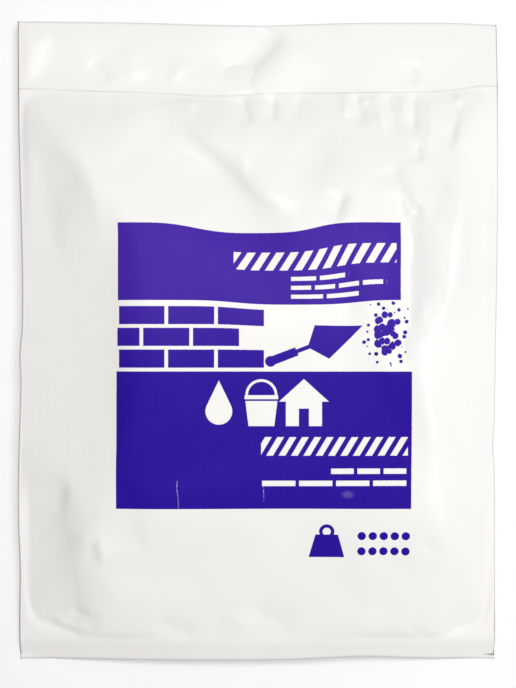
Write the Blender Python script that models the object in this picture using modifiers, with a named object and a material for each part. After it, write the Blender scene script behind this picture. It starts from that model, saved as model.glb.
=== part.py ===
"""A filled cement sack of white polyethylene film, lying on its back.

Metres, +Z up. The origin is on the floor under the middle of the sack: +X runs to the right of the
printed face, +Y to the open mouth above the top weld, and the printed face looks up.
"""

import math
from collections import namedtuple

import bmesh
import bpy
from mathutils import Vector
from mathutils.geometry import intersect_point_line

# Driving dimensions of the laid sack
SACK_WIDTH = 0.382
SACK_LENGTH = 0.510
SACK_HEIGHT = 0.060
HEADER_LENGTH = 0.055
SKIRT_LENGTH = 0.016
WAIST_PULL = 0.0042

# The film, and the hair of play that keeps neighbouring surfaces apart
FILM_THICKNESS = 0.00015
LAYER_GAP = 0.0003
FILL_PLAY = 0.0005

# Heights of the seams above the floor
WELD_HEIGHT = 0.020
SIDE_FOLD_HEIGHT = 0.026
MOUTH_HEIGHT = 0.012
SKIRT_EDGE_HEIGHT = 0.018

# How wide the bulge's four slopes are and how softly they meet, how bowed the side folds are seen from
# the side and from above, and how wide the underside lies flat
LEFT_SLOPE = 0.080
RIGHT_SLOPE = 0.050
TOP_SLOPE = 0.105
BOTTOM_SLOPE = 0.115
SLOPE_SOFTNESS = 0.16
SEAM_POWER = 3.4
WAIST_POWER = 2.2
UNDERSIDE_SPREAD = 1.9

# Where the powder's lower corners are rounded off: how far in the film lies empty, and how wide the slope is
CORNER_CUT = 0.020
CORNER_SLOPE = 0.150

# The powder stops where the film's two faces come closer together than this
FILL_LEAST_DEPTH = 0.005

# The main folds of the slack film. A fold has a path seen from above and a width. On the path the
# film is lifted by rise, or drawn down where it is negative. On the left of the path's direction it
# stands higher by lean, and on the right it lies lower by as much.
Fold = namedtuple("Fold", "path rise lean width")
DIAGONAL_STEP = Fold(
    path=((-0.094, 0.194), (-0.057, 0.174), (-0.031, 0.146), (-0.005, 0.114), (0.034, 0.092)),
    rise=0.0, lean=0.0040, width=0.013)
DIAGONAL_HOLLOW = Fold(
    path=((-0.104, 0.182), (-0.070, 0.162), (-0.044, 0.138), (-0.022, 0.108)),
    rise=-0.0026, lean=0.0, width=0.020)
UPPER_CREST = Fold(
    path=((0.016, 0.146), (0.040, 0.168), (0.064, 0.192)),
    rise=0.0022, lean=0.0, width=0.013)
RIGHT_VALLEY = Fold(
    path=((0.106, 0.142), (0.113, 0.124), (0.124, 0.110), (0.140, 0.096)),
    rise=-0.0010, lean=0.0019, width=0.009)
LEFT_RIDGE = Fold(
    path=((-0.180, 0.198), (-0.146, 0.160), (-0.128, 0.120), (-0.122, 0.050), (-0.124, -0.080)),
    rise=0.0010, lean=0.0, width=0.010)
RIGHT_RIDGE = Fold(
    path=((0.164, 0.198), (0.150, 0.120), (0.138, 0.005), (0.136, -0.040), (0.149, -0.106)),
    rise=0.0014, lean=0.0, width=0.010)
CORNER_STEP = Fold(
    path=((-0.162, -0.154), (-0.142, -0.172), (-0.118, -0.190), (-0.104, -0.206)),
    rise=-0.0010, lean=0.0026, width=0.013)
HEADER_VALLEY = Fold(
    path=((0.028, 0.250), (0.014, 0.229), (-0.008, 0.208), (-0.014, 0.198)),
    rise=-0.0020, lean=0.0010, width=0.010)
BODY_FOLDS = (DIAGONAL_STEP, DIAGONAL_HOLLOW, UPPER_CREST, RIGHT_VALLEY, LEFT_RIDGE, RIGHT_RIDGE, CORNER_STEP)

# How sharp a fold's crest is, and the share of its path over which each end dies out
FOLD_CREST = 0.35
FOLD_END_SHARE = 0.2

# How far from the welds and side folds the body's folds reach their full height, as shares of the body
WELD_FADE = 0.03
SIDE_FADE = 0.06

# Mesh counts, and how even the spacing is: 1 for even, 0 for close together near the edges
COLUMNS = 28
BODY_ROWS = 30
HEADER_ROWS = 4
SKIRT_ROWS = 1
EVEN_SHARE = 0.6

BOTTOM_EDGE_Y = -SACK_LENGTH / 2
MOUTH_Y = SACK_LENGTH / 2
BOTTOM_WELD_Y = BOTTOM_EDGE_Y + SKIRT_LENGTH
TOP_WELD_Y = MOUTH_Y - HEADER_LENGTH
HALF_PAIR = FILM_THICKNESS + LAYER_GAP / 2
MERGE_DISTANCE = 0.00001


def clear_scene():
    """Remove whatever the file holds."""
    for obj in list(bpy.data.objects):
        bpy.data.objects.remove(obj)


def body_share(y):
    """0 at the bottom weld and 1 at the top weld."""
    return (y - BOTTOM_WELD_Y) / (TOP_WELD_Y - BOTTOM_WELD_Y)


def hump(share, power):
    """1 in the middle of 0..1 and 0 at both ends, with a flat top that widens with the power."""
    offset = min(1.0, abs(2.0 * share - 1.0))
    return 1.0 - offset**power


def half_width(y):
    """Half the sack's width: full at the welds, drawn in between them by the fill."""
    return SACK_WIDTH / 2 - WAIST_PULL * hump(body_share(y), WAIST_POWER)


def seam_height(y):
    """Height of the side folds, which droop at the header and at the skirt."""
    share = body_share(y)
    if share > 1.0:
        droop = (y - TOP_WELD_Y) / HEADER_LENGTH
        return WELD_HEIGHT + (MOUTH_HEIGHT - WELD_HEIGHT) * droop
    if share < 0.0:
        droop = (BOTTOM_WELD_Y - y) / SKIRT_LENGTH
        return WELD_HEIGHT + (SKIRT_EDGE_HEIGHT - WELD_HEIGHT) * droop
    return WELD_HEIGHT + (SIDE_FOLD_HEIGHT - WELD_HEIGHT) * hump(share, SEAM_POWER)


def softly_lower(first, second):
    """The lower of two values, rounded where they are close together."""
    return (first + second - math.hypot(first - second, SLOPE_SOFTNESS)) / 2


def bulge(x, y):
    """0 at the folds and welds, 1 over the middle of the fill, with an even slope from each side."""
    across = softly_lower((half_width(y) + x) / LEFT_SLOPE, (half_width(y) - x) / RIGHT_SLOPE)
    along = softly_lower((y - BOTTOM_WELD_Y) / BOTTOM_SLOPE, (TOP_WELD_Y - y) / TOP_SLOPE)
    corner = (half_width(y) - abs(x) + y - BOTTOM_WELD_Y - CORNER_CUT) / CORNER_SLOPE
    return max(0.0, softly_lower(softly_lower(softly_lower(across, along), corner), 1.0))


def eased(value, low, high):
    """0 at low, 1 at high and smooth between them."""
    share = min(1.0, max(0.0, (value - low) / (high - low)))
    return share * share * (3.0 - 2.0 * share)


def place_on_path(x, y, path):
    """A point's distance from a path, 1 or -1 for its left or right side, and the share of it passed."""
    point = Vector((x, y))
    lengths = [math.dist(start, end) for start, end in zip(path, path[1:])]
    places = []
    for index, (start, end) in enumerate(zip(path, path[1:])):
        run = Vector(end) - Vector(start)
        share = min(1.0, max(0.0, intersect_point_line(point, start, end)[1]))
        gap = point - Vector(start) - share * run
        passed = (sum(lengths[:index]) + share * lengths[index]) / sum(lengths)
        places.append((gap.length, math.copysign(1.0, run.cross(gap)), passed))
    return min(places)


def fold_height(fold, x, y):
    """How far one fold lifts the film: a crest or hollow, and a step from one side to the other."""
    gap, side, passed = place_on_path(x, y, fold.path)
    away = gap / fold.width
    crest = fold.rise * math.exp(FOLD_CREST - math.hypot(away, FOLD_CREST))
    step = fold.lean * side * away * math.exp(1.0 - away)
    return (crest + step) * eased(passed, 0.0, FOLD_END_SHARE) * eased(passed, 1.0, 1.0 - FOLD_END_SHARE)


def side_inset(x, y):
    """1 over the film and 0 at its side folds, which folds don't lift."""
    return eased(abs(x) / half_width(y), 1.0, 1.0 - SIDE_FADE)


def body_folds(x, y):
    """Height of the printed face's folds, which die out at the welds."""
    share = body_share(y)
    inset = eased(share, 0.0, WELD_FADE) * eased(share, 1.0, 1.0 - WELD_FADE) * side_inset(x, y)
    return inset * sum(fold_height(fold, x, y) for fold in BODY_FOLDS) if inset > 0.0 else 0.0


def header_folds(x, y):
    """Height of the header's fold, which both of its layers share."""
    inset = eased(body_share(y), 1.0 - WELD_FADE, 1.0) * side_inset(x, y)
    return inset * fold_height(HEADER_VALLEY, x, y) if inset > 0.0 else 0.0


def plain_front_height(x, y):
    """Outer height of the printed face, without its folds."""
    rim = seam_height(y) + HALF_PAIR
    return rim + (SACK_HEIGHT - rim) * bulge(x, y)


def front_height(x, y):
    """Outer height of the printed face."""
    return plain_front_height(x, y) + body_folds(x, y) + header_folds(x, y)


def back_height(x, y):
    """Outer height of the underside, which lies flat on the floor under the fill."""
    rim = seam_height(y) - HALF_PAIR
    return rim * max(0.0, 1.0 - UNDERSIDE_SPREAD * bulge(x, y)) + header_folds(x, y)


def spread_columns(index):
    """-1 at the left fold to 1 at the right one, closer together near the folds."""
    even = 2.0 * index / COLUMNS - 1.0
    return EVEN_SHARE * even + (1.0 - EVEN_SHARE) * math.sin(math.pi / 2 * even)


def ring_place(step):
    """(column, whether on the front) of a step round the sack: over the front, then back under it."""
    around = 2 * (COLUMNS + 1)
    index = step % around
    if index <= COLUMNS:
        return index, True
    return around - 1 - index, False


def tube_of_rings(name, ring_count, place):
    """A closed tube of rings, from a grid whose sides are merged.

    place(column, on_front, row) gives each point. Points that it brings together are merged, which
    closes the tube where front and back meet.
    """
    around = 2 * (COLUMNS + 1)
    bm = bmesh.new()
    bmesh.ops.create_grid(bm, x_segments=around, y_segments=ring_count - 1, size=0.5)
    for vert in bm.verts:
        column, on_front = ring_place(round((vert.co.x + 0.5) * around))
        row = round((vert.co.y + 0.5) * (ring_count - 1))
        vert.co = place(column, on_front, row)
    bmesh.ops.remove_doubles(bm, verts=bm.verts, dist=MERGE_DISTANCE)
    bmesh.ops.recalc_face_normals(bm, faces=bm.faces)
    mesh = bpy.data.meshes.new(name)
    bm.to_mesh(mesh)
    bm.free()
    mesh.shade_smooth()
    return bpy.data.objects.new(name, mesh)


def evenly(start, end, count):
    """count places after start, the last one at end."""
    return [start + (end - start) * (k + 1) / count for k in range(count)]


def bunched(start, end, count):
    """count places after start, the last one at end, closer together near both ends."""
    evens = [(k + 1) / count for k in range(count)]
    places = [EVEN_SHARE * even + (1.0 - EVEN_SHARE) * (1.0 - math.cos(math.pi * even)) / 2 for even in evens]
    return [start + (end - start) * place for place in places]


def sack_rings():
    """y of each ring of the film, from the closed skirt to the open mouth."""
    closing_ring = BOTTOM_EDGE_Y
    first_open_ring = BOTTOM_EDGE_Y + 2 * HALF_PAIR
    rings = [closing_ring, first_open_ring]
    rings += evenly(first_open_ring, BOTTOM_WELD_Y, SKIRT_ROWS)
    rings += bunched(BOTTOM_WELD_Y, TOP_WELD_Y, BODY_ROWS)
    rings += evenly(TOP_WELD_Y, MOUTH_Y, HEADER_ROWS)
    return rings


def make_film_sack():
    """The film: a tube closed at the skirt, open at the mouth, with the fill's bulge between the welds."""
    rings = sack_rings()

    def place(column, on_front, row):
        y = rings[row]
        x = spread_columns(column) * half_width(y)
        if row == 0:
            return x, y, seam_height(y)
        return x, y, front_height(x, y) if on_front else back_height(x, y)

    sack = tube_of_rings("film_sack", len(rings), place)
    wall = sack.modifiers.new("film", "SOLIDIFY")
    wall.thickness = FILM_THICKNESS
    wall.offset = -1.0
    wall.use_even_offset = True
    return sack


def film_depth(x, y):
    """How far apart the film's two faces are, folds left aside."""
    return plain_front_height(x, y) - back_height(x, y)


def fill_edge_column(y):
    """The outermost column at y where the film is far enough apart to hold powder."""
    for column in range(COLUMNS // 2):
        if film_depth(spread_columns(column) * half_width(y), y) > FILL_LEAST_DEPTH:
            return column
    return COLUMNS // 2


def slope_stretch(height, x, y):
    """How much longer a vertical gap is than the same gap square to a sloping surface."""
    step = 0.0005
    across = (height(x + step, y) - height(x - step, y)) / (2 * step)
    along = (height(x, y + step) - height(x, y - step)) / (2 * step)
    return math.sqrt(1.0 + across**2 + along**2)


def make_cement_fill():
    """The powder: it follows the film's inside, a hair clear of it, on the film's own columns and rings."""
    body_rings = [y for y in sack_rings() if film_depth(0.0, y) > FILL_LEAST_DEPTH]
    first, last = 0, len(body_rings) - 1
    inset = FILM_THICKNESS + FILL_PLAY

    def place(column, on_front, row):
        y = body_rings[row]
        edge = fill_edge_column(y)
        x = spread_columns(min(max(column, edge), COLUMNS - edge)) * half_width(y)
        top = front_height(x, y) - inset * slope_stretch(front_height, x, y)
        bottom = back_height(x, y) + inset * slope_stretch(back_height, x, y)
        if row in (first, last):
            return x, y, (top + bottom) / 2
        return x, y, top if on_front else bottom

    return tube_of_rings("cement_fill", len(body_rings), place)


def finish_material(name, colour, roughness, metallic=0.0):
    """A Principled material of one colour."""
    material = bpy.data.materials.new(name)
    material.use_nodes = True
    shader = material.node_tree.nodes["Principled BSDF"]
    shader.inputs["Base Color"].default_value = (*colour, 1.0)
    shader.inputs["Roughness"].default_value = roughness
    shader.inputs["Metallic"].default_value = metallic
    return material


def main():
    clear_scene()
    collection = bpy.data.collections.new("cement_sack")
    bpy.context.scene.collection.children.link(collection)
    sack = make_film_sack()
    sack.data.materials.append(finish_material("white_film", (0.88, 0.88, 0.87), 0.35))
    fill = make_cement_fill()
    fill.data.materials.append(finish_material("cement_powder", (0.42, 0.42, 0.40), 0.95))
    for obj in (sack, fill):
        collection.objects.link(obj)


main()
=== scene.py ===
"""Dresses a filled cement sack that lies on its back: printed film, settled powder, floor and light.

The file is laid out as a Blender add-on and run as a script. All lengths are metres, +X runs to the
right of the printed face, +Y to the mouth of the header and +Z up out of the print. Lengths on the
print are millimetres on the flat film, measured from the middle of the sack.
"""

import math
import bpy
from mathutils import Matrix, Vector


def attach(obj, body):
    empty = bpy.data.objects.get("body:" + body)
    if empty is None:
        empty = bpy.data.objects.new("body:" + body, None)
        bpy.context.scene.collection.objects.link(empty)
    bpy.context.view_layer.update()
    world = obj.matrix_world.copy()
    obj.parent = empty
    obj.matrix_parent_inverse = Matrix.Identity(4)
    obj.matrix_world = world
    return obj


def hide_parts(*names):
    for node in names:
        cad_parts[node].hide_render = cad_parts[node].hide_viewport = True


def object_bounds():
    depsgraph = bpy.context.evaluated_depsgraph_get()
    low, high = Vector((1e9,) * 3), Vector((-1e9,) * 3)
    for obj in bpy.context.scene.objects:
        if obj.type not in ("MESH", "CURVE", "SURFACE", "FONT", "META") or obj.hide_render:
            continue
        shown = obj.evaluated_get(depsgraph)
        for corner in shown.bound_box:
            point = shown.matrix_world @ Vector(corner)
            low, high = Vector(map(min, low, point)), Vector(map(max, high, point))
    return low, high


bl_info = {
    "name": "Filled Film Sack",
    "version": (1, 0, 0),
    "blender": (4, 5, 0),
    "location": "3D View > Sidebar > Sack",
    "description": "Makes a filled, printed film sack that lies on its back",
    "category": "Add Mesh",
}

from typing import NamedTuple

import bpy
import numpy as np
from bpy.props import FloatProperty, FloatVectorProperty, IntProperty, PointerProperty
from bpy.types import Operator, Panel, PropertyGroup
from mathutils import Vector

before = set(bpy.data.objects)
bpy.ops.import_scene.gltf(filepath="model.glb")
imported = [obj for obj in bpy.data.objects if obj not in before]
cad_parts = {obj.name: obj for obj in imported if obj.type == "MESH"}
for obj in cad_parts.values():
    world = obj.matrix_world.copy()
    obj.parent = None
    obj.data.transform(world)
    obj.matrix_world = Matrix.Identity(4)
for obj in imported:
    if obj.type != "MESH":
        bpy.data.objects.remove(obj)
CAD_LOW, CAD_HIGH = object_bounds()

MM = 0.001
SACK_WIDTH = CAD_HIGH.x - CAD_LOW.x
SACK_LENGTH = CAD_HIGH.y - CAD_LOW.y
SACK_HEIGHT = CAD_HIGH.z - CAD_LOW.z

# The welds, measured from the sack's two ends, and the heights of the seams above the floor
HEADER_LENGTH = 55 * MM
SKIRT_LENGTH = 16 * MM
WELD_HEIGHT = 20 * MM
SIDE_FOLD_HEIGHT = 26 * MM
MOUTH_HEIGHT = 12 * MM
SKIRT_EDGE_HEIGHT = 11 * MM
LAYER_GAP = 0.6 * MM
SEAM_POWER = 3.4

# The widths of the bulge's slopes, the cut of its bottom corners and its underside
LEFT_SLOPE = 80 * MM
RIGHT_SLOPE = 50 * MM
TOP_SLOPE = 105 * MM
BOTTOM_SLOPE = 115 * MM
CORNER_CUT = 4 * MM
CORNER_SLOPE = 135 * MM
SEAM_INSET = 3.5 * MM
BULGE_SOFTNESS = 0.16
TOP_PLAY = 1.0 * MM
UNDERSIDE_SPREAD = 1.9
UNDERSIDE_SOFTNESS = 0.02
UNDERSIDE_PRESS = 0.05

# How far the empty corners hang or stand and the mouth gapes
CORNER_DROOP = 14 * MM
CORNER_LIFT = 6 * MM
MOUTH_GAPE = 2.2 * MM
FLOOR_PLAY = 0.1 * MM

BOTTOM_EDGE_Y = -SACK_LENGTH / 2
MOUTH_Y = SACK_LENGTH / 2
BOTTOM_WELD_Y = BOTTOM_EDGE_Y + SKIRT_LENGTH
TOP_WELD_Y = MOUTH_Y - HEADER_LENGTH
BODY_MIDDLE_Y = (BOTTOM_WELD_Y + TOP_WELD_Y) / 2

# The flat film's UV map, in metres: the back lies beside the front
FRONT_MIDDLE_U = 0.25
BACK_MIDDLE_U = 0.75
MIDDLE_V = 0.5

# The printed panels: left, right, low and high, in millimetres
UPPER_PANEL = (-109.0, 111.5, 32.3, 92.8)
LOWER_PANEL = (-110.1, 119.4, -130.1, -23.1)

# Folds, in widths: the crest's rounding, the reach, and where the step starts and ends dying away
CREST_ROUNDING = 0.35
CREASE_REACH = 7.0
STEP_WHOLE = 2.5
STEP_GONE = 5.0

# The broad folds die away over this length below the top weld
FOLDS_FADE = 56 * MM

# Settling: its frames, the longest move and the bed, which is a coarse copy of the sack (columns,
# back columns, rows), a little smaller and deeper
SETTLING_FRAMES = 25
FARTHEST_MOVE = 6 * MM
BED_GRID = (50, 20, 66)
BED_ENDS = (0.01, 0.99)
BED_WIDTH_SHARE = 0.955
BED_LENGTH_SHARE = 0.965
BED_DEPTH = 3 * MM

# Where the powder ends: shares of the body's length, the half width and the corners' slope
POWDER_ENDS = (0.03, 0.97)
POWDER_SIDE = 0.045
POWDER_CORNER = 0.45
POWDER_THINNEST = 0.2 * MM

# The stage: both lights look at the sack's middle, and the camera looks straight down
FLOOR_SIZE = 6.0
FLOOR_HEIGHT = -0.2 * MM
KEY_SIZE = 0.6
KEY_PLACE = (0.12, 0.30, 1.3)
SIDE_SIZE = 1.8
SIDE_PLACE = (1.6, -0.55, 2.1)
LIGHTS_AIM = (0.0, 0.0, 0.05)
SKY_COLOUR = (1.0, 0.97, 0.93, 1.0)
CAMERA_OFFSET = (0.4 * MM, -1.8 * MM)
CAMERA_LENS = 100.0


# Settings that a user would change

COLOUR = {"size": 3, "min": 0.0, "max": 1.0, "subtype": "COLOR"}


class SackFilmSettings(PropertyGroup):
    thickness: FloatProperty(
        name="Film thickness", description="Thickness of the polyethylene film",
        default=0.15 * MM, min=0.01 * MM, unit="LENGTH", precision=5)
    columns: IntProperty(
        name="Columns", description="Faces across the printed face", default=208, min=20)
    back_columns: IntProperty(
        name="Back columns", description="Faces across the back", default=16, min=8)
    rows: IntProperty(
        name="Rows", description="Faces from the skirt to the mouth", default=180, min=20)
    crease_strength: FloatProperty(
        name="Crease strength", description="Scales the folds that are placed by hand",
        default=1.0, min=0.0, max=2.0, subtype="FACTOR")
    slack_flat: FloatProperty(
        name="Slack on the flat", description="Spare film over the middle, as a share of its length",
        default=0.0, min=0.0, max=0.05, precision=4, subtype="FACTOR")
    slack_top: FloatProperty(
        name="Slack at the top", description="Spare film between the top weld and the print",
        default=0.03, min=0.0, max=0.08, precision=4, subtype="FACTOR")
    slack_rim: FloatProperty(
        name="Slack at the rim", description="Spare film beside the side folds and the bottom weld",
        default=0.014, min=0.0, max=0.08, precision=4, subtype="FACTOR")
    white: FloatVectorProperty(
        name="Film white", description="Colour of the unprinted film",
        default=(0.86, 0.855, 0.845), **COLOUR)
    ink: FloatVectorProperty(
        name="Ink", description="Colour of the ink on the lower panel",
        default=(0.020, 0.004, 0.300), **COLOUR)
    # Painted sheen: the ink of the upper panel is painted lighter towards the top, as if it caught the
    # light
    sheen_ink: FloatVectorProperty(
        name="Sheen ink", description="Colour of the ink painted lighter as sheen on the upper panel",
        default=(0.062, 0.018, 0.370), **COLOUR)


class SackPowderSettings(PropertyGroup):
    play: FloatProperty(
        name="Play", description="Clear space between the powder and the film",
        default=0.8 * MM, min=0.0, unit="LENGTH", precision=5)
    grey: FloatVectorProperty(
        name="Cement grey", description="Colour of the dry cement",
        default=(0.36, 0.36, 0.34), **COLOUR)


class SackStageSettings(PropertyGroup):
    camera_height: FloatProperty(
        name="Camera height", description="Height of the camera above the floor",
        default=1.54, min=0.5, unit="LENGTH")
    key_power: FloatProperty(
        name="Key light", description="Power of the light above the header, in watts",
        default=6.9, min=0.0)
    side_power: FloatProperty(
        name="Side light", description="Power of the far light on the right, in watts",
        default=24.5, min=0.0)
    sky: FloatProperty(
        name="Sky", description="Strength of the even light from all round",
        default=0.48, min=0.0)


# Surface maths. Every function takes and gives whole arrays.


def smooth_step(low, high, value):
    """0 below low, 1 above high and 3t^2 - 2t^3 between."""
    t = np.clip((value - low) / (high - low), 0.0, 1.0)
    return t * t * (3.0 - 2.0 * t)


def bell(value, centre, width, power=2):
    """exp(-|(value - centre) / width|^power)."""
    return np.exp(-(np.abs((value - centre) / width) ** power))


def body_share(y):
    """0 at the bottom weld and 1 at the top weld."""
    return (y - BOTTOM_WELD_Y) / (TOP_WELD_Y - BOTTOM_WELD_Y)


def hump(share, power):
    """1 - |2 share - 1|^power: 1 in the middle and 0 at both ends."""
    return 1.0 - np.minimum(1.0, np.abs(2.0 * share - 1.0)) ** power


def left_edge(y):
    """The left fold seen from above: drawn in by the fill, with two small kinks."""
    waist = 4.6 * MM * bell(y, 32 * MM, 120 * MM) + 1.2 * MM * bell(y, -180 * MM, 30 * MM)
    kink = 1.6 * MM * bell(y, -10 * MM, 14 * MM)
    return -SACK_WIDTH / 2 + waist - kink


def right_edge(y):
    """The right fold seen from above: drawn in lower down than the left one, with one small kink."""
    waist = 3.0 * MM * bell(y, -75 * MM, 130 * MM)
    kink = 1.4 * MM * bell(y, -82 * MM, 14 * MM)
    return SACK_WIDTH / 2 - waist - kink


def mouth_edge(x):
    """How far the mouth's cut edge lies below the sack's end."""
    middle = 1.3 * MM * bell(x, -35 * MM, 45 * MM) + 1.6 * MM * bell(x, 20 * MM, 40 * MM)
    return middle + 2.0 * MM * bell(x, 192 * MM, 25 * MM)


def skirt_edge(x):
    """How far the skirt's cut edge lies above the sack's end."""
    return 2.6 * MM * bell(x, 82 * MM, 42 * MM)


def weld_sag(x):
    """How far the fill pulls the top weld down: most left of the middle, least at both ends."""
    sag = 1.2 + 3.1 * bell(x, -35 * MM, 40 * MM) + 0.9 * bell(x, 45 * MM, 50 * MM)
    return (sag - 2.4 * bell(x, -185 * MM, 45 * MM) - 4.8 * bell(x, 182 * MM, 25 * MM)) * MM


def print_sag(x, y):
    """How far the film is drawn down, as the print shows: most beside the valley from the top weld."""
    strength = smooth_step(-30 * MM, 100 * MM, y) * smooth_step(190 * MM, 150 * MM, y)
    middle = -4 * MM + 0.53 * (93 * MM - y)
    return 8.4 * MM * strength * bell(x, middle, 52 * MM, 3.5)


def seam_height(y):
    """Height of the side folds, which droop at the header and at the skirt."""
    share = body_share(y)
    body = WELD_HEIGHT + (SIDE_FOLD_HEIGHT - WELD_HEIGHT) * hump(share, SEAM_POWER)
    header = WELD_HEIGHT + (MOUTH_HEIGHT - WELD_HEIGHT) * (y - TOP_WELD_Y) / HEADER_LENGTH
    skirt = WELD_HEIGHT + (SKIRT_EDGE_HEIGHT - WELD_HEIGHT) * (BOTTOM_WELD_Y - y) / SKIRT_LENGTH
    return np.where(share > 1.0, header, np.where(share < 0.0, skirt, body))


def softly_lower(first, second):
    """The lower of two values, rounded: (a + b - sqrt((a - b)^2 + softness^2)) / 2."""
    return (first + second - np.hypot(first - second, BULGE_SOFTNESS)) / 2.0


def bulge(across, y):
    """0 at the seams and 1 over the middle: the lowest of an even slope from each side and corner."""
    half = SACK_WIDTH / 2 - SEAM_INSET
    sides = softly_lower((1.0 + across) * half / LEFT_SLOPE, (1.0 - across) * half / RIGHT_SLOPE)
    ends = softly_lower((y - BOTTOM_WELD_Y) / BOTTOM_SLOPE, (TOP_WELD_Y - y) / TOP_SLOPE)
    corner = ((1.0 - np.abs(across)) * half + y - BOTTOM_WELD_Y - CORNER_CUT) / CORNER_SLOPE
    return np.maximum(0.0, softly_lower(softly_lower(softly_lower(sides, ends), corner), 1.0))


def corner_droop(across, y):
    """How far the skirt's empty corners hang down: a smooth step out along x times one down y."""
    return CORNER_DROOP * smooth_step(0.25, 1.15, np.abs(across)) * smooth_step(-80 * MM, -245 * MM, y)


def corner_lift(across, y):
    """How far the mouth's left corner stands up: a smooth step out along x times one up y."""
    up = smooth_step(TOP_WELD_Y - 10 * MM, MOUTH_Y, y)
    return CORNER_LIFT * smooth_step(-0.35, -1.1, across) * up


def mouth_gape(across, y):
    """How far the header's layers stand apart: a smooth step up to the mouth times 1 - across^2."""
    return MOUTH_GAPE * smooth_step(TOP_WELD_Y, MOUTH_Y, y) * (1.0 - np.abs(across) ** 2)


def front_height(across, y):
    """Height of the printed face: by the bulge from the seams' height to the sack's, less the droop."""
    rim = seam_height(y) + LAYER_GAP / 2 + mouth_gape(across, y) / 2
    return rim + (SACK_HEIGHT - TOP_PLAY - rim) * bulge(across, y) - corner_droop(across, y)


def back_height(across, y):
    """Height of the back: the seams' height times 1 - 1.9 bulge, rounded where it meets the floor."""
    rim = seam_height(y) - LAYER_GAP / 2 - mouth_gape(across, y) / 2
    lifted = 1.0 - UNDERSIDE_SPREAD * bulge(across, y)
    rounded = 0.5 * (lifted + np.sqrt(lifted**2 + UNDERSIDE_SOFTNESS))
    height = rim * np.maximum(0.0, rounded - UNDERSIDE_PRESS * smooth_step(0.2, -0.6, lifted))
    return np.maximum(height - corner_droop(across, y), np.minimum(height, FLOOR_PLAY))


def spread(count, dense):
    """count + 1 places from 0 to 1. dense is a function of place that says how close they lie."""
    fine = np.linspace(0.0, 1.0, 2001)
    weight = np.cumsum(dense(fine))
    weight = (weight - weight[0]) / (weight[-1] - weight[0])
    return np.interp(np.linspace(0.0, 1.0, count + 1), weight, fine)


def smooth_path(points, steps=10):
    """A curve through the points: each stretch is a Catmull-Rom cubic, sampled steps times."""
    p = np.asarray(points, float)
    p = np.vstack([2 * p[0] - p[1], p, 2 * p[-1] - p[-2]])
    t = np.linspace(0.0, 1.0, steps, endpoint=False)[:, None]
    pieces = []
    for a, b, c, d in zip(p[:-3], p[1:-2], p[2:-1], p[3:]):
        bend = 2 * a - 5 * b + 4 * c - d + t * (3 * (b - c) + d - a)
        pieces.append(b + 0.5 * t * (c - a + t * bend))
    return np.vstack([*pieces, p[-2:-1]])


def distance_to_path(x, y, path):
    """For each point, its distance from the path, which side it is on, and how far along it is."""
    start, end = path[:-1], path[1:]
    run = end - start
    length = np.hypot(run[:, 0], run[:, 1])
    dx = x[..., None] - start[:, 0]
    dy = y[..., None] - start[:, 1]
    along = np.clip((dx * run[:, 0] + dy * run[:, 1]) / length**2, 0.0, 1.0)
    gap_x = dx - along * run[:, 0]
    gap_y = dy - along * run[:, 1]
    gap = np.hypot(gap_x, gap_y)
    side = np.sign(run[:, 0] * gap_y - run[:, 1] * gap_x)
    before = np.concatenate([[0.0], np.cumsum(length)])[:-1]
    place = (before + along * length) / length.sum()
    nearest = gap.argmin(axis=-1)[..., None]
    return [np.take_along_axis(values, nearest, -1)[..., 0] for values in (gap, side, place)]


class Fold(NamedTuple):
    """A fold placed against the photo. Its path, rise, width and lean are millimetres."""

    path: tuple
    rise: float
    width: float
    lean: float = 0.0
    ends: tuple = (0.35, 0.35)


def crease(x, y, fold):
    """The height of one fold.

    Across it, the height is rise exp(e - sqrt((d / width)^2 + e^2)), a ridge or, with a negative
    rise, a valley. lean adds a step that dies away some widths out, lean d / width exp(1 - d / width),
    up on the left of the path's direction and down on its right. Along it, the height fades out over
    the given share of each end.
    """
    path = smooth_path(fold.path) * MM
    reach = CREASE_REACH * fold.width * MM
    low, high = path.min(axis=0) - reach, path.max(axis=0) + reach
    near = (x > low[0]) & (x < high[0]) & (y > low[1]) & (y < high[1])
    gap, side, place = distance_to_path(x[near], y[near], path)
    away = gap / (fold.width * MM)
    across = np.exp(CREST_ROUNDING - np.sqrt(away**2 + CREST_ROUNDING**2))
    step = fold.lean * side * away * np.exp(1.0 - away) * smooth_step(STEP_GONE, STEP_WHOLE, away)
    fade = smooth_step(0.0, fold.ends[0], place) * smooth_step(0.0, fold.ends[1], 1.0 - place)
    height = np.zeros_like(x)
    height[near] = (fold.rise * across + step) * fade * MM
    return height


def creases(x, y, folds):
    """The heights of several folds, added up."""
    height = np.zeros_like(x)
    for fold in folds:
        height += crease(x, y, fold)
    return height


# The flat header's soft folds
HEADER_FOLDS = (
    Fold(((24, 250), (11, 230), (-9, 210), (-16, 198)), -1.2, 11, lean=2.4, ends=(0.2, 0.2)),
    Fold(((-134, 226), (-124, 214), (-116, 205)), -1.5, 4),
    Fold(((121, 224), (123, 214), (124, 204)), -1.7, 3.5),
    Fold(((-105, 238), (-101, 222), (-97, 204)), 1.2, 9),
    Fold(((-164, 250), (-174, 225), (-182, 203)), 0.0, 14, lean=-1.0),
    Fold(((-190, 240), (-120, 243), (-30, 239)), 0.6, 14),
    Fold(((90, 246), (140, 238), (188, 243)), 0.8, 14),
    Fold(((-72, 206), (-64, 214), (-58, 226)), 0.9, 5),
)

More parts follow.
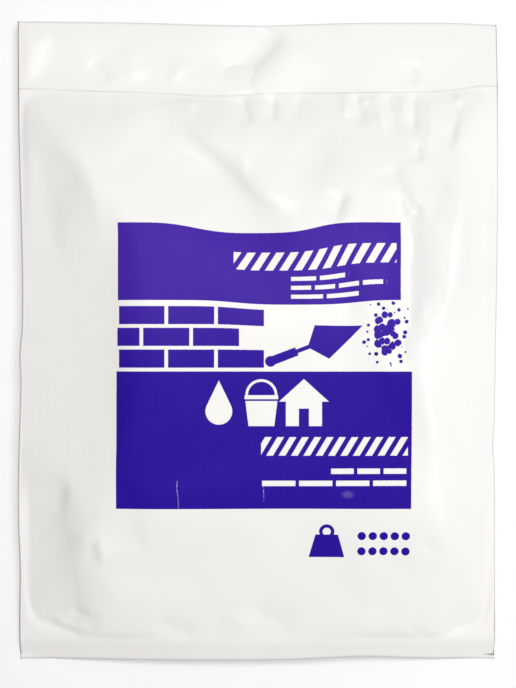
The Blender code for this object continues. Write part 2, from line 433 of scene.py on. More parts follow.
# Short folds that run from the top weld into the body
WELD_PUCKERS = (
    Fold(((-13, 199), (-8, 185), (-2, 170)), -1.8, 4.5, lean=1.2, ends=(0.15, 0.4)),
    Fold(((11, 198), (12, 185), (12, 171)), -2.2, 2.6, ends=(0.15, 0.3)),
    Fold(((68, 200), (70, 189), (70, 176)), 2.6, 2.8, ends=(0.15, 0.3)),
    Fold(((75, 200), (80, 186), (85, 168)), -3.0, 4.5, ends=(0.15, 0.4)),
    Fold(((82, 200), (84, 193), (84, 186)), 1.8, 2.4, ends=(0.15, 0.3)),
    Fold(((90, 199), (96, 182), (102, 162)), 2.6, 3.6, ends=(0.15, 0.4)),
    Fold(((100, 200), (106, 184), (111, 162)), -2.6, 4.4, ends=(0.15, 0.4)),
    Fold(((114, 200), (116, 186), (117, 172)), 1.8, 4.5, ends=(0.15, 0.4)),
    Fold(((123, 200), (124, 182), (123, 162)), -2.6, 3.4, ends=(0.15, 0.3)),
    Fold(((134, 198), (137, 172), (132, 140)), 1.8, 5.5),
    Fold(((125, 158), (126, 150), (128, 140)), -2.2, 2.6),
    Fold(((154, 202), (158, 196), (161, 186)), 2.4, 2.8, ends=(0.15, 0.3)),
    Fold(((-120, 200), (-116, 188), (-106, 176)), -0.9, 4.5, ends=(0.15, 0.4)),
    Fold(((-150, 200), (-140, 186), (-126, 176)), -0.8, 5.5, ends=(0.15, 0.4)),
    Fold(((34, 200), (32, 186), (26, 172)), -1.6, 4.5, ends=(0.15, 0.4)),
    Fold(((-58, 199), (-54, 190), (-47, 182)), 1.6, 3.4, ends=(0.15, 0.4)),
)

# The upper body's long folds: the diagonal step, the hollow beside it and the creases
SHOULDER_FOLDS = (
    Fold(((-96, 193), (-77, 182), (-60, 172), (-40, 153), (-17, 132), (-4, 116), (12, 104), (36, 92)),
         0.0, 15, lean=4.6, ends=(0.2, 0.3)),
    Fold(((-50, 184), (-41, 172), (-31, 161), (-17, 152), (-11, 144), (-11, 133), (-8, 122)),
         2.4, 5.5),
    Fold(((12, 146), (24, 158), (46, 171), (66, 191)), 2.2, 13),
    Fold(((64, 178), (57, 150), (52, 128), (49, 106)), 0.0, 30, lean=2.6, ends=(0.3, 0.4)),
    Fold(((71, 120), (66, 106), (61, 90)), -1.8, 5, lean=1.2),
    Fold(((106, 142), (113, 124), (122, 110), (134, 98)), -1.0, 8, lean=1.4, ends=(0.2, 0.3)),
    Fold(((168, 204), (162, 184), (157, 168), (153, 148)), -0.8, 4.5, lean=2.2, ends=(0.15, 0.3)),
    Fold(((-50, 175), (-8, 93), (34, 11)), -6.0, 44, ends=(0.3, 0.5)),
)

# Where the flat top breaks over into the two side slopes
SIDE_FOLDS = (
    Fold(((-182, 198), (-168, 182), (-156, 170), (-146, 158), (-138, 145), (-132, 130),
          (-127, 112), (-124, 90), (-121, 60)),
         1.2, 7, ends=(0.06, 0.45)),
    Fold(((-186, 200), (-168, 182), (-152, 163), (-140, 143), (-131, 120), (-125, 96), (-121, 70)),
         3.4, 24, ends=(0.1, 0.35)),
    Fold(((166, 152), (161, 115), (156, 88), (154, 60), (149, 36), (140, 5)),
         17.0, 14, ends=(0.45, 0.35)),
    Fold(((152, 60), (142, 25), (133, -12), (130, -40), (140, -80), (152, -110)),
         7.0, 16, ends=(0.35, 0.3)),
    Fold(((118, 118), (120, 90), (121, 60), (120, 30), (117, 0), (114, -30)),
         -4.5, 15, ends=(0.25, 0.3)),
    Fold(((-118, 84), (-111, 40), (-107, -10), (-107, -70), (-112, -120)), 0.0, 16, lean=1.2),
    Fold(((-187, 203), (-183, 190), (-179, 177)), 2.2, 3.5),
)

# Folds of the lower body and of the corner above the skirt
LOWER_FOLDS = (
    Fold(((-151, -96), (-152, -134), (-145, -170), (-142, -202), (-142, -250)),
         0.0, 22, lean=3.0, ends=(0.25, 0.01)),
    Fold(((-98, -98), (-93, -135), (-86, -178)), 0.0, 26, lean=2.4, ends=(0.4, 0.45)),
    Fold(((150, -250), (152, -200), (156, -150), (162, -100)), 0.0, 26, lean=3.4, ends=(0.01, 0.4)),
    Fold(((-150, -108), (-151, -120), (-155, -136)), -0.8, 6, lean=1.1),
    Fold(((-142, -150), (-136, -156), (-128, -161)), 1.5, 5),
    Fold(((-126, -146), (-123, -160), (-120, -180)), 1.4, 5),
    Fold(((-131, -154), (-127, -166), (-124, -178)), -1.0, 6, lean=0.8),
    Fold(((-134, -208), (-132, -216), (-132, -226)), 1.2, 5),
    Fold(((-166, -216), (-156, -224), (-146, -228), (-132, -229)), 2.4, 3.5),
    Fold(((-152, -210), (-138, -217), (-122, -223)), -2.2, 4.5),
    Fold(((-172, -228), (-154, -236), (-136, -244)), -1.4, 8),
    Fold(((-84, -218), (-66, -228), (-46, -234)), -1.8, 8),
    Fold(((-30, -214), (-16, -222), (0, -230)), 1.3, 7),
    Fold(((-10, -204), (8, -218), (34, -230)), -2.0, 10),
    Fold(((118, -226), (128, -231), (138, -238)), -1.3, 3.5),
    Fold(((124, -156), (134, -161), (146, -168)), -1.1, 3.5),
)


def body_folds(x, y):
    """All folds of the printed face. The broad ones die away before the top weld."""
    broad = creases(x, y, SHOULDER_FOLDS) + creases(x, y, SIDE_FOLDS) + creases(x, y, LOWER_FOLDS)
    return creases(x, y, WELD_PUCKERS) + broad * smooth_step(TOP_WELD_Y, TOP_WELD_Y - FOLDS_FADE, y)


class SackGrid:
    """The film's points: rings over the front and back under it, from the skirt to the mouth."""

    def __init__(self, front, back, rows):
        self.front = front
        self.around = front + back
        self.across_front = 2.0 * spread(front, lambda s: 1.0 + 0.5 * smooth_step(0.25, 0.1, s)
                                         + 0.5 * smooth_step(0.6, 0.8, s)) - 1.0
        self.across_back = 1.0 - 2.0 * spread(back, lambda s: 1.0 + 1.5 * np.abs(2 * s - 1.0) ** 3)
        self.along = spread(rows, lambda s: 1.0 + 0.7 * smooth_step(0.25, 0.12, s)
                            + smooth_step(0.62, 0.72, s))
        self.on_front = np.concatenate([np.ones(front + 1, bool), np.zeros(back - 1, bool)])
        across = np.concatenate([self.across_front, self.across_back[1:-1]])
        self.across, share = np.meshgrid(across, self.along)
        self.nominal_y = BOTTOM_EDGE_Y + share * SACK_LENGTH
        self.body_share = body_share(self.nominal_y)

    def half(self):
        """The same film with every other row and column left out."""
        return SackGrid(self.front // 2, (self.around - self.front) // 2, (len(self.along) - 1) // 2)

    def points(self, fold_strength):
        """The filled sack with its placed folds."""
        nominal_y = self.nominal_y
        left, right = left_edge(nominal_y), right_edge(nominal_y)
        x = left + (right - left) * (self.across + 1.0) / 2.0
        y = nominal_y - mouth_edge(x) * smooth_step(TOP_WELD_Y, MOUTH_Y, nominal_y)
        y = y + skirt_edge(x) * smooth_step(BOTTOM_WELD_Y + 20 * MM, BOTTOM_EDGE_Y, nominal_y)
        y = y - weld_sag(x) * bell(nominal_y, TOP_WELD_Y, 34 * MM)
        share = self.body_share
        inward = smooth_step(1.0, 0.95, np.abs(self.across)) * fold_strength
        between_welds = smooth_step(0.0, 0.02, share) * smooth_step(1.0, 0.98, share)
        front = front_height(self.across, nominal_y) + body_folds(x, y) * inward * between_welds
        z = np.where(self.on_front, front, back_height(self.across, nominal_y))
        in_header = smooth_step(0.97, 1.0, share)
        z = z + creases(x, y, HEADER_FOLDS) * inward * in_header + corner_lift(self.across, nominal_y)
        return self.kept_apart(np.stack([x, y, z], axis=-1))

    def kept_apart(self, points):
        """The same points, with the front at least the gap above the back, up to the top weld."""
        lowest = back_height(self.across, self.nominal_y) + LAYER_GAP
        low_front = self.on_front & (self.body_share < 1.0)
        height = np.where(low_front, np.maximum(points[..., 2], lowest), points[..., 2])
        return np.concatenate([points[..., :2], height[..., None]], axis=-1)

    def flat_film(self, points):
        """UV of each corner of each face: the flat film, with the back beside the front."""
        x, y = points[..., 0], points[..., 1]
        v = MIDDLE_V + self.nominal_y + np.where(self.on_front, print_sag(x, y), 0.0)
        corners = ring_faces(len(self.along), self.around)
        place = np.tile(np.arange(self.around), len(self.along) - 1)
        middle = np.where(place < self.front, FRONT_MIDDLE_U, BACK_MIDDLE_U)
        return np.stack([x.ravel()[corners] + middle[:, None], v.ravel()[corners]], axis=-1)


def ring_faces(rows, around):
    """Quads of a tube of rings, wound so that they face out."""
    row, place = np.meshgrid(np.arange(rows - 1), np.arange(around), indexing="ij")
    after = (place + 1) % around
    return np.stack([row * around + place, row * around + after,
                     (row + 1) * around + after, (row + 1) * around + place], axis=-1).reshape(-1, 4)


def sheet_faces(rows, columns):
    """Quads of an open sheet of points."""
    row, place = np.meshgrid(np.arange(rows - 1), np.arange(columns - 1), indexing="ij")
    first = row * columns + place
    return np.stack([first, first + 1, first + columns + 1, first + columns], axis=-1).reshape(-1, 4)


def slab_faces(rows, columns):
    """Quads of a closed slab: a sheet, the same sheet under it, and a rim that joins them."""
    sheet = sheet_faces(rows, columns)
    under = rows * columns
    edge = np.concatenate([np.arange(columns), np.arange(1, rows) * columns + columns - 1,
                           under - 2 - np.arange(columns - 1), np.arange(rows - 2, 0, -1) * columns])
    after = np.roll(edge, -1)
    rim = np.stack([edge, edge + under, after + under, after], axis=-1)
    return np.concatenate([sheet, sheet[:, ::-1] + under, rim])


def new_piece(name, points, faces):
    """A smooth-shaded mesh object from arrays of points and quads."""
    mesh = bpy.data.meshes.new(name)
    mesh.from_pydata(points.reshape(-1, 3).tolist(), [], faces.tolist())
    mesh.shade_smooth()
    piece = bpy.data.objects.new(name, mesh)
    bpy.context.scene.collection.objects.link(piece)
    return piece


def weigh(piece, name, weights):
    """A vertex group with one weight for each point, rounded to hundredths."""
    group = piece.vertex_groups.new(name=name)
    levels = np.round(weights.ravel(), 2)
    for level in np.unique(levels):
        group.add(np.flatnonzero(levels == level).tolist(), float(level), "REPLACE")
    return group.name


def doubled_rows(values):
    """One more row between every two: (-a + 9b + 9c - d) / 16, with the ends drawn on straight."""
    first, last = 2 * values[:1] - values[1:2], 2 * values[-1:] - values[-2:-1]
    padded = np.concatenate([first, values, last])
    between = (9.0 * (padded[1:-2] + padded[2:-1]) - padded[:-3] - padded[3:]) / 16.0
    result = np.empty((2 * len(values) - 1, *values.shape[1:]))
    result[0::2] = values
    result[1::2] = between
    return result


def doubled(values):
    """Values of a half grid on the whole grid: more rows, then more columns round the ring."""
    columns = np.swapaxes(doubled_rows(values), 0, 1)
    ring = np.concatenate([columns[-2:], columns, columns[:3]])
    return np.swapaxes(doubled_rows(ring)[4:-5], 0, 1)


def powder_bed(fold_strength):
    """A coarse copy of the powder's surface that the film settles on."""
    coarse = SackGrid(*BED_GRID)
    top = coarse.points(fold_strength)[:, :coarse.front + 1]
    share = coarse.body_share[:, 0]
    top = top[(share > BED_ENDS[0]) & (share < BED_ENDS[1])]
    top[..., 0] *= BED_WIDTH_SHARE
    top[..., 1] = BODY_MIDDLE_Y + (top[..., 1] - BODY_MIDDLE_Y) * BED_LENGTH_SHARE
    top[..., 2] -= BED_DEPTH
    bed = new_piece("powder_trial", top, sheet_faces(*top.shape[:2]))
    bed.modifiers.new("Collision", "COLLISION")
    bed.collision.thickness_outer = 0.5 * MM
    bed.collision.thickness_inner = 20 * MM
    bed.collision.cloth_friction = 2.0
    bed.collision.damping = 0.5
    return bed


def make_cloth(film):
    """Gives the film Blender's Cloth, as stiff as thin polyethylene, and returns its rules."""
    cloth = film.modifiers.new("Cloth", "CLOTH")
    cloth.point_cache.frame_start = 1
    cloth.point_cache.frame_end = SETTLING_FRAMES
    cloth.collision_settings.use_collision = True
    cloth.collision_settings.collision_quality = 2
    cloth.collision_settings.distance_min = 0.5 * MM
    cloth.collision_settings.use_self_collision = False
    rules = cloth.settings
    rules.quality = 5
    rules.mass = 0.0005
    rules.air_damping = 1.0
    rules.tension_stiffness = rules.compression_stiffness = 60.0
    rules.shear_stiffness = 20.0
    rules.bending_model = "ANGULAR"
    rules.bending_stiffness = 4.0
    rules.tension_damping = rules.compression_damping = rules.shear_damping = 5.0
    rules.bending_damping = 0.5
    return rules


def settled_move(grid, settings):
    """How far each point moves while the film settles.

    The film is longer than the fill needs, by the settings' slack, so it buckles over the powder. Its
    welds, side folds and back are held still. No move is longer than FARTHEST_MOVE.
    """
    flat, top, rim = settings.slack_flat, settings.slack_top, settings.slack_rim
    points = grid.points(settings.crease_strength)
    film = new_piece("film_trial", points, ring_faces(*points.shape[:2]))
    share = grid.body_share
    at_top = smooth_step(0.66, 0.9, share)
    at_rim = np.maximum(smooth_step(0.2, 0.05, share), smooth_step(0.65, 0.95, np.abs(grid.across)))
    spare = flat + np.maximum((top - flat) * at_top, (rim - flat) * at_rim)
    most = max(top, rim)
    slack = (spare - flat) / (most - flat) * grid.on_front
    held = (share > 0.985) | (share < 0.015) | (np.abs(grid.across) > 0.999) | ~grid.on_front

    bed = powder_bed(settings.crease_strength)
    rules = make_cloth(film)
    rules.vertex_group_mass = weigh(film, "held", held.astype(float))
    rules.vertex_group_shrink = weigh(film, "slack", slack)
    rules.shrink_min = -flat
    rules.shrink_max = -most

    scene = bpy.context.scene
    for step in range(1, SETTLING_FRAMES + 1):
        scene.frame_set(step)
    settled = film.evaluated_get(bpy.context.evaluated_depsgraph_get()).data
    found = np.empty(points.size, np.float32)
    settled.vertices.foreach_get("co", found)
    scene.frame_set(1)
    for trial in (film, bed):
        mesh = trial.data
        bpy.data.objects.remove(trial)
        bpy.data.meshes.remove(mesh)
    move = found.reshape(points.shape).astype(float) - points
    distance = np.linalg.norm(move, axis=-1, keepdims=True)
    return move * np.minimum(1.0, FARTHEST_MOVE / np.maximum(distance, 1e-9))


# Shader maths


class Socket:
    """A shader value that Python's operators turn into Math nodes."""

    def __init__(self, finish, link):
        self.finish = finish
        self.link = link

    def math(self, operation, *others):
        return self.finish.math(operation, self, *others)

    def __add__(self, other):
        return self.math("ADD", other)

    def __sub__(self, other):
        return self.math("SUBTRACT", other)

    def __rsub__(self, other):
        return self.finish.math("SUBTRACT", other, self)

    def __mul__(self, other):
        return self.math("MULTIPLY", other)

    def __truediv__(self, other):
        return self.math("DIVIDE", other)

    def __neg__(self):
        return self.math("MULTIPLY", -1.0)

    def __abs__(self):
        return self.math("ABSOLUTE")

    def __mod__(self, other):
        return self.math("FLOORED_MODULO", other)

    def floor(self):
        return self.math("FLOOR")

    def smaller(self, other):
        return self.math("MINIMUM", other)

    def larger(self, other):
        return self.math("MAXIMUM", other)

    def ramp(self, low, high, way="LINEAR"):
        """0 at low, 1 at high, straight between them."""
        settings = {"clamp": True, "interpolation_type": way}
        inputs = {"Value": self, "From Min": low, "From Max": high}
        return self.finish.node("ShaderNodeMapRange", settings, inputs)

    def smooth(self, low, high):
        """0 at low, 1 at high, smooth between them."""
        return self.ramp(low, high, "SMOOTHSTEP")

    __radd__ = __add__
    __rmul__ = __mul__


class Finish:
    """A material and the methods that add nodes to it."""

    def __init__(self, name, **constants):
        self.material = bpy.data.materials.new(name)
        self.material.use_nodes = True
        self.tree = self.material.node_tree
        self.shader = self.tree.nodes["Principled BSDF"]
        for socket, value in constants.items():
            self.shader.inputs[socket.replace("_", " ")].default_value = value

    def node(self, kind, settings=(), inputs=(), output=0):
        """Adds a node, sets its settings and then its inputs, and gives one of its outputs."""
        made = self.tree.nodes.new(kind)
        for name, value in dict(settings).items():
            setattr(made, name, value)
        pairs = inputs.items() if isinstance(inputs, dict) else enumerate(inputs)
        for key, value in pairs:
            if isinstance(value, Socket):
                self.tree.links.new(value.link, made.inputs[key])
            else:
                made.inputs[key].default_value = value
        return Socket(self, made.outputs[output])

    def math(self, operation, *values):
        """A Math node over sockets and numbers."""
        return self.node("ShaderNodeMath", {"operation": operation}, values)

    def vector(self, x, y):
        return self.node("ShaderNodeCombineXYZ", (), [x, y])

    def noise(self, place, scale, detail=2.0, roughness=0.5):
        inputs = {"Vector": place, "Scale": scale, "Detail": detail, "Roughness": roughness}
        return self.node("ShaderNodeTexNoise", {"noise_dimensions": "3D"}, inputs)

    def mix(self, share, first, second):
        """A colour between two."""
        inputs = {0: share, 6: first, 7: second}
        return self.node("ShaderNodeMix", {"data_type": "RGBA"}, inputs, output=2)

    def feed(self, socket, value):
        self.tree.links.new(value.link, self.shader.inputs[socket])

    def bump(self, height, depth):
        """Relief: height of 1 stands depth metres proud."""
        normal = self.node("ShaderNodeBump", (), {"Height": height, "Strength": 1.0, "Distance": depth})
        self.feed("Normal", normal)


# Print. Each shape is a depth in millimetres: how far a point lies inside its edge, negative outside.


def span_depth(value, low, high):
    """Half the span less the distance from its middle."""
    return (high - low) / 2 - abs(value - (low + high) / 2)


def box_shape(x, y, left, right, low, high):
    """The smaller of the depths inside a span across and a span up."""
    return span_depth(x, left, right).smaller(span_depth(y, low, high))


def disc_shape(x, y, centre_x, centre_y, radius):
    """Radius less the distance from the centre."""
    dx, dy = x - centre_x, y - centre_y
    return radius - (dx * dx + dy * dy).math("SQRT")


def ring_shape(x, y, centre_x, centre_y, radius, width):
    """Half the width less the distance from a circle."""
    return width / 2 - abs(disc_shape(x, y, centre_x, centre_y, radius))


def taper_shape(x, y, centre_x, low, high, half_low, half_high):
    """A span up, as wide as a straight line between two half widths says."""
    slope = (half_high - half_low) / (high - low)
    across = (y - low) * slope + half_low - abs(x - centre_x)
    return across.smaller(span_depth(y, low, high))


def turned(x, y, centre_x, centre_y, degrees):
    """x and y seen from a centre, turned about it."""
    c, s = math.cos(math.radians(degrees)), math.sin(math.radians(degrees))
    dx, dy = x - centre_x, y - centre_y
    return dx * c + dy * s, dy * c - dx * s


def brick_shape(x, y, left, low, length, course, joint):
    """Running bond: each course is moved on by half a brick."""
    row = ((y - low) / course).floor()
    along = (x - left + (row % 2.0) * (length / 2)) % length
    up = (y - low) % course
    across_depth = span_depth(along, joint / 2, length - joint / 2)
    return across_depth.smaller(span_depth(up, joint / 2, course - joint / 2)), row


def wall_shape(x, y, left, bricks, low, courses, length, course, joint):
    """A short wall in running bond. Each second course ends half a brick earlier on the right."""
    right = left + bricks * length
    depth, row = brick_shape(x, y, left, low, length, course, joint)
    toothed_right = right - (row % 2.0) * (length / 2) - joint / 2
    inside = box_shape(x, y, left, right, low, low + courses * course)
    return depth.smaller(inside).smaller(toothed_right - x)


def trowel_shape(x, y, centre_x, centre_y, degrees):
    """A bricklayer's trowel: a kite for the blade, a thin neck and a round-ended handle."""
    p, q = turned(x, y, centre_x, centre_y, degrees)
    blade_half, toe, heel = 15.0, 34.0, 12.0
    blade = (blade_half - p * (blade_half / toe)).smaller(p * (blade_half / heel) + blade_half) - abs(q)
    blade = blade * 0.85
    neck = box_shape(p, q, -22.0, -8.0, -1.7, 1.7)
    handle = box_shape(p, q, -43.0, -21.0, -3.6, 3.6)
    pommel = disc_shape(p, q, -43.0, 0.0, 4.3)
    return blade.larger(neck).larger(handle).larger(pommel)


def drop_shape(x, y, centre_x, centre_y, radius):
    """A disc with a pointed hood above it."""
    body = disc_shape(x, y, centre_x, centre_y, radius)
    reach = radius * 2.3
    lean = math.asin(radius / reach)
    tip_y = centre_y + reach
    start_y = centre_y + radius * math.sin(lean)
    hood = (tip_y - y) * math.sin(lean) - abs(x - centre_x) * math.cos(lean)
    return body.larger(hood.smaller(y - start_y))


def pail_shape(x, y, centre_x, low, height, half_low, half_high):
    """A tapered pail with a dark gap under its rim and a bow handle."""
    rim = height * 0.13
    body = taper_shape(x, y, centre_x, low, low + height - rim - 1.4, half_low, half_high - 0.6)
    lip = box_shape(x, y, centre_x - half_high, centre_x + half_high, low + height - rim, low + height)
    bow = ring_shape(x, y, centre_x, low + height, half_high - 1.6, 2.0).smaller(y - low - height)
    return body.larger(lip).larger(bow)


def house_shape(x, y, centre_x, low, half, eaves, ridge):
    """A gable with a doorway."""
    walls = box_shape(x, y, centre_x - half, centre_x + half, low, low + eaves)
    slope = (ridge - eaves) / (half * 1.3)
    roof = (low + ridge - y - abs(x - centre_x) * slope) * (1.0 / math.hypot(1.0, slope))
    roof = roof.smaller(y - low - eaves + 1.0)
    jamb = half * 0.28
    door = box_shape(x, y, centre_x - jamb, centre_x + jamb, low - 1.0, low + eaves * 0.68)
    return walls.larger(roof).smaller(-door)


def slant_bars(x, y, left, right, low, high, pitch, bar):
    """A strip of leaning bars."""
    bars = span_depth((x - y * 0.6) % pitch, (pitch - bar) / 2, (pitch + bar) / 2) * 0.86
    return bars.smaller(box_shape(x, y, left, right, low, high))


def dashed_rule(x, y, left, right, low, high, pitch, gap):
    """A thin rule broken by short gaps at an even pitch."""
    dash = span_depth((x - left) % pitch, 0.0, pitch - gap)
    return dash.smaller(box_shape(x, y, left, right, low, high))


def splash_shape(finish, x, y, centre_x, centre_y, half_width, half_height):
    """Drops of mortar round a centre: the radius in each cell shrinks with distance."""
    place = finish.vector(x, y)
    inputs = {"Vector": place, "Scale": 0.17, "Randomness": 1.0}
    settings = {"feature": "F1", "voronoi_dimensions": "2D"}
    distance = finish.node("ShaderNodeTexVoronoi", settings, inputs)
    cell = finish.node("ShaderNodeTexVoronoi", settings, inputs, output=1)
    share = finish.node("ShaderNodeSeparateXYZ", (), [cell])
    away = disc_shape((x - centre_x) / half_width, (y - centre_y) / half_height, 0.0, 0.0, 1.0)
    return (away * 0.8 + share * 0.42 - 0.2 - distance).smaller(away + 0.35) * 4.5


def print_depth(finish, x, y):
    """The whole print: two panels, the marks left white in them, and the marks in ink."""
    upper = box_shape(x, y, *UPPER_PANEL)
    lower = box_shape(x, y, *LOWER_PANEL)

    # Marks left white in the upper panel
    title = slant_bars(x, y, -18.6, 108.0, 61.5, 76.5, 11.2, 6.4)
    rules = dashed_rule(x, y, 26.0, 71.0, 52.6, 56.0, 22.5, 3.0)
    rules = rules.larger(dashed_rule(x, y, 26.0, 100.5, 45.0, 48.4, 18.6, 3.0))
    rules = rules.larger(dashed_rule(x, y, 26.0, 81.5, 37.4, 40.8, 27.8, 3.0))

    # Marks in ink on the band
    wall = wall_shape(x, y, -109.4, 3, -21.6, 3, 38.6, 16.9, 2.8)
    trowel = trowel_shape(x, y, 50.0, 1.0, 22.0)
    splash = splash_shape(finish, x, y, 101.0, 6.0, 20.0, 27.0)
    splash = splash.smaller(box_shape(x, y, 62.0, 119.0, -24.0, 33.0))

    # Marks left white in the lower panel
    drop = drop_shape(x, y, -30.0, -54.0, 10.4)
    pail = pail_shape(x, y, 3.0, -65.5, 24.0, 10.0, 13.0)
    house = house_shape(x, y, 36.0, -65.5, 14.0, 20.0, 36.5)
    bars = slant_bars(x, y, 2.8, 116.5, -88.4, -74.0, 9.6, 5.2)
    lines = dashed_rule(x, y, 57.0, 118.0, -102.6, -98.4, 20.4, 2.8)
    lines = lines.larger(dashed_rule(x, y, 3.5, 118.0, -112.0, -107.8, 28.7, 2.8))

    # The weight mark below the panel, in ink
    weight = taper_shape(x, y, 54.0, -169.5, -151.0, 14.0, 8.8)
    weight = weight.larger(ring_shape(x, y, 54.0, -148.6, 4.6, 2.8))
    left, low, pitch, rise = 77.0, -168.6, 8.6, 12.4
    pips = disc_shape((x - left) % pitch, (y - low) % rise, pitch / 2, pitch / 2, 3.3)
    pips = pips.smaller(box_shape(x, y, left, left + 5 * pitch, low, low + 2 * rise))

    upper = upper.smaller(-title).smaller(-rules)
    lower = lower.smaller(-drop).smaller(-pail).smaller(-house).smaller(-bars).smaller(-lines)
    marks = wall.larger(trowel).larger(splash).larger(weight).larger(pips)
    return upper.larger(lower).larger(marks)


def film_finish(settings):
    """White polyethylene with one ink, painted sheen that lightens it towards the top, soft gloss,
    faint clouding and fine handling marks.
    """
    finish = Finish("white_film", Specular_IOR_Level=0.06, Coat_Roughness=0.22)
    uv = finish.node("ShaderNodeUVMap", {"uv_map": "flat_film"})
    x = (finish.node("ShaderNodeSeparateXYZ", (), [uv]) - FRONT_MIDDLE_U) * 1000.0
    y = (finish.node("ShaderNodeSeparateXYZ", (), [uv], output=1) - MIDDLE_V) * 1000.0
    place = finish.vector(x, y)
    ragged = finish.noise(place, 0.9) - 0.5
    depth = print_depth(finish, x, y) + ragged * 0.5
    ink = depth.ramp(-0.15, 0.15)

    # Wear: pinholes in the ink, two long scratches and one rub
    speck = finish.noise(place, 1.6, 3.0, 0.7)
    worn = speck.ramp(0.66, 0.74) * finish.noise(place, 0.035).ramp(0.45, 0.75)
    waver = (finish.noise(place, 0.05, 1.0) - 0.5) * 3.0
    scratch = box_shape(x + waver, y, -62.0, -61.5, -130.0, -108.0)
    scratch = scratch.larger(box_shape(x + waver, y, 4.2, 4.7, -124.0, -108.0))
    worn = worn * 0.5 + scratch.ramp(-0.25, 0.25) * finish.noise(place, 0.3).ramp(0.35, 0.65) * 0.5
    rub = disc_shape(x, y * 1.6, 70.0, -190.0, 6.0).ramp(0.0, 4.0) * speck.ramp(0.45, 0.6)
    ink = ink * (1.0 - (worn + rub * 0.2).ramp(0.0, 1.0))

    # The weld: a hairline where the two layers have run together, stronger in places
    beside_weld = abs(y - TOP_WELD_Y * 1000.0)
    along_weld = finish.vector(x, 0.0)
    hairline = beside_weld.ramp(0.9, 0.35) * finish.noise(along_weld, 0.02).ramp(0.38, 0.6)

    cloud = finish.noise(place, 0.012, 3.0, 0.55).ramp(0.3, 0.7)
    white = Vector(settings.white)
    film = finish.mix(cloud, (*(white * 0.985), 1.0), (*(white * 1.012), 1.0))
    film = finish.mix(hairline * 0.3, film, (*(white * 0.6), 1.0))
    # Painted sheen: the ink is mixed towards the lighter sheen ink from the band up to the upper panel,
    # with faint streaks
    sheen_streak = finish.noise(finish.vector(x * 0.25, y * 0.02), 1.0) * 0.12
    thin = y.smooth(-40.0, 60.0) * 0.85 + sheen_streak
    colour = finish.mix(thin.ramp(0.0, 1.0), (*settings.ink, 1.0), (*settings.sheen_ink, 1.0))
    finish.feed("Base Color", finish.mix(ink, film, colour))
    finish.feed("Roughness", finish.noise(place, 0.03, 3.0).ramp(0.0, 1.0) * 0.14 + 0.35 + ink * 0.08)
    finish.feed("Coat Weight", 0.22 - ink * 0.2)

    # Relief, in tenths of a millimetre: crumple, streaks below the weld, weld ribs and the ink's edge
    crumple = finish.noise(place, 0.045, 3.0, 0.45) * 3.0
    fine = finish.noise(place, 0.22) * 0.35
    drawn = finish.noise(finish.vector(x * 0.2, y * 0.03), 1.0, 3.0, 0.6) * 3.2
    drawn = drawn * y.smooth(140.0, 185.0) * y.smooth(206.0, 198.0)
    ribs = beside_weld.ramp(2.6, 1.8) * abs((x * 1.25) % 1.0 - 0.5) * 0.5
    groove = beside_weld.ramp(0.9, 0.2) * -2.4
    finish.bump(crumple + fine + drawn + ribs + groove + ink * 0.06, 0.1 * MM)
    return finish.material


def powder_finish(settings):
    """Dry cement: fine grain, soft lumps and a little paler dust."""
    finish = Finish("cement_powder", Roughness=0.95, Specular_IOR_Level=0.2)
    place = finish.node("ShaderNodeTexCoord", (), (), output=3)
    lump = finish.noise(place, 60.0, 4.0, 0.6)
    grain = finish.noise(place, 900.0, 2.0, 0.6)
    grey = Vector(settings.grey)
    dark, pale = (*(grey * 0.85), 1.0), (*(grey * 1.15), 1.0)
    finish.feed("Base Color", finish.mix((lump * 0.6 + grain * 0.4).ramp(0.3, 0.7), dark, pale))
    finish.bump(lump * 2.0 + grain, 0.2 * MM)
    return finish.material


def floor_finish():
    """Plain white board."""
    return Finish("floor_white", Base_Color=(0.94, 0.94, 0.94, 1.0), Roughness=0.9).material


# Operators


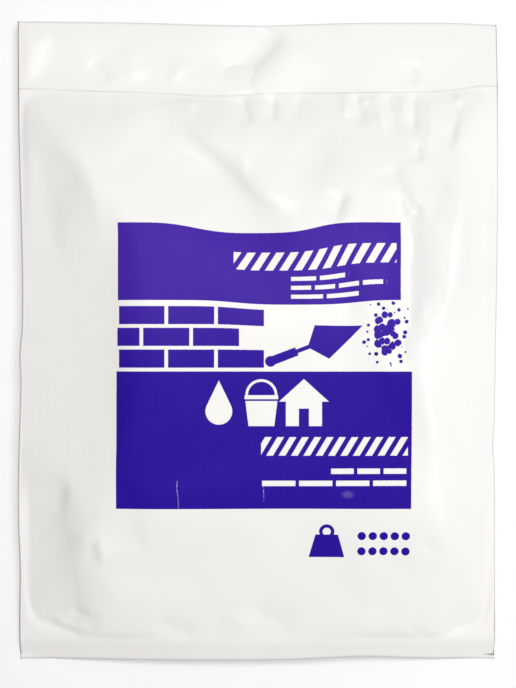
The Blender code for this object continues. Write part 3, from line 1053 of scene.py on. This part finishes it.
class SACK_OT_film(Operator):
    """Makes the printed film and the powder that fills it"""

    bl_idname = "sack.film"
    bl_label = "Film Sack"

    def execute(self, context):
        settings = context.scene.sack_film
        grid = SackGrid(settings.columns, settings.back_columns, settings.rows)
        start = grid.points(settings.crease_strength)
        points = start
        points = grid.kept_apart(start + doubled(settled_move(grid.half(), settings)))
        film = new_piece("film_skin", points, ring_faces(*points.shape[:2]))
        flat = film.data.uv_layers.new(name="flat_film")
        flat.data.foreach_set("uv", grid.flat_film(start).astype(np.float32).ravel())
        film.data.materials.append(film_finish(settings))
        wall = film.modifiers.new("film", "SOLIDIFY")
        wall.thickness = settings.thickness
        wall.offset = -1.0
        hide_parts("film_sack")
        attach(film, "root")
        self.make_powder(context, grid, points)
        return {"FINISHED"}

    def make_powder(self, context, grid, points):
        """The powder: a slab from the film's back up to the lowest film near each point.

        It stops short of the welds, the side folds and the skirt's empty corners.
        """
        settings = context.scene.sack_powder
        inset = settings.play + context.scene.sack_film.thickness
        lowest = points[..., 2].copy()
        for step in ((0, 1), (1, 0), (0, -1), (-1, 0), (0, 2), (2, 0), (0, -2), (-2, 0)):
            lowest = np.minimum(lowest, np.roll(points[..., 2], step, axis=(0, 1)))
        film = np.concatenate([points[..., :2], lowest[..., None] - inset], axis=-1)
        share = grid.body_share[:, 0]
        rows = np.flatnonzero((share > POWDER_ENDS[0]) & (share < POWDER_ENDS[1]))[::2]
        above_weld = grid.nominal_y[rows, :1] - BOTTOM_WELD_Y
        corner = (CORNER_CUT + POWDER_CORNER * CORNER_SLOPE - above_weld) / (SACK_WIDTH / 2)
        empty = np.maximum(POWDER_SIDE, corner)
        across = (1.0 - empty) * np.linspace(-1.0, 1.0, grid.front // 2)
        front = film[:, :grid.front + 1]
        top = np.array([[np.interp(places, grid.across_front, front[row, :, axis]) for axis in range(3)]
                        for row, places in zip(rows, across)]).transpose(0, 2, 1)
        bottom = top.copy()
        bottom[..., 2] = back_height(across, grid.nominal_y[rows, :1]) + inset
        top[..., 2] = np.maximum(top[..., 2], bottom[..., 2] + POWDER_THINNEST)
        powder = new_piece("powder_body", np.stack([top, bottom]), slab_faces(*top.shape[:2]))
        powder.data.materials.append(powder_finish(settings))
        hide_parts("cement_fill")
        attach(powder, "root")


class SACK_OT_stage(Operator):
    """Makes the floor, the lights and the camera"""

    bl_idname = "sack.stage"
    bl_label = "Stage"

    def execute(self, context):
        settings = context.scene.sack_stage
        bpy.ops.mesh.primitive_plane_add(size=FLOOR_SIZE, location=(0.0, 0.0, FLOOR_HEIGHT))
        floor = context.object
        floor.name = "floor"
        floor.data.materials.append(floor_finish())
        world = bpy.data.worlds.new("studio")
        context.scene.world = world
        world.use_nodes = True
        background = world.node_tree.nodes["Background"].inputs
        background["Color"].default_value = SKY_COLOUR
        background["Strength"].default_value = settings.sky
        self.area_light(context, "key", settings.key_power, KEY_SIZE, KEY_PLACE)
        self.area_light(context, "side", settings.side_power, SIDE_SIZE, SIDE_PLACE, shadow=False)
        lens = bpy.data.cameras.new("camera")
        lens.lens = CAMERA_LENS
        camera = bpy.data.objects.new("camera", lens)
        camera.location = (*CAMERA_OFFSET, settings.camera_height)
        context.scene.collection.objects.link(camera)
        context.scene.camera = camera
        context.scene.view_settings.view_transform = "Standard"
        return {"FINISHED"}

    def area_light(self, context, name, power, size, place, shadow=True):
        """A round soft light that looks at the sack."""
        light = bpy.data.lights.new(name, "AREA")
        light.shape = "DISK"
        light.size = size
        light.energy = power
        light.use_shadow = shadow
        lamp = bpy.data.objects.new(name, light)
        lamp.location = place
        look = Vector(LIGHTS_AIM) - lamp.location
        lamp.rotation_euler = look.to_track_quat("-Z", "Y").to_euler()
        context.scene.collection.objects.link(lamp)


class SACK_PT_panel(Panel):
    """Shows the sack's buttons and settings"""

    bl_label = "Filled Film Sack"
    bl_idname = "SACK_PT_panel"
    bl_space_type = "VIEW_3D"
    bl_region_type = "UI"
    bl_category = "Sack"

    def draw(self, context):
        for operator in (SACK_OT_film, SACK_OT_stage):
            self.layout.operator(operator.bl_idname)
        for group in (context.scene.sack_film, context.scene.sack_powder, context.scene.sack_stage):
            box = self.layout.box()
            for name in group.__annotations__:
                box.prop(group, name)


CLASSES = (SackFilmSettings, SackPowderSettings, SackStageSettings,
           SACK_OT_film, SACK_OT_stage, SACK_PT_panel)


def register():
    for cls in CLASSES:
        bpy.utils.register_class(cls)
    bpy.types.Scene.sack_film = PointerProperty(type=SackFilmSettings)
    bpy.types.Scene.sack_powder = PointerProperty(type=SackPowderSettings)
    bpy.types.Scene.sack_stage = PointerProperty(type=SackStageSettings)


def unregister():
    del bpy.types.Scene.sack_stage
    del bpy.types.Scene.sack_powder
    del bpy.types.Scene.sack_film
    for cls in reversed(CLASSES):
        bpy.utils.unregister_class(cls)


def main():
    register()
    bpy.ops.sack.stage()
    bpy.ops.sack.film()


if __name__ == "__main__":
    main()
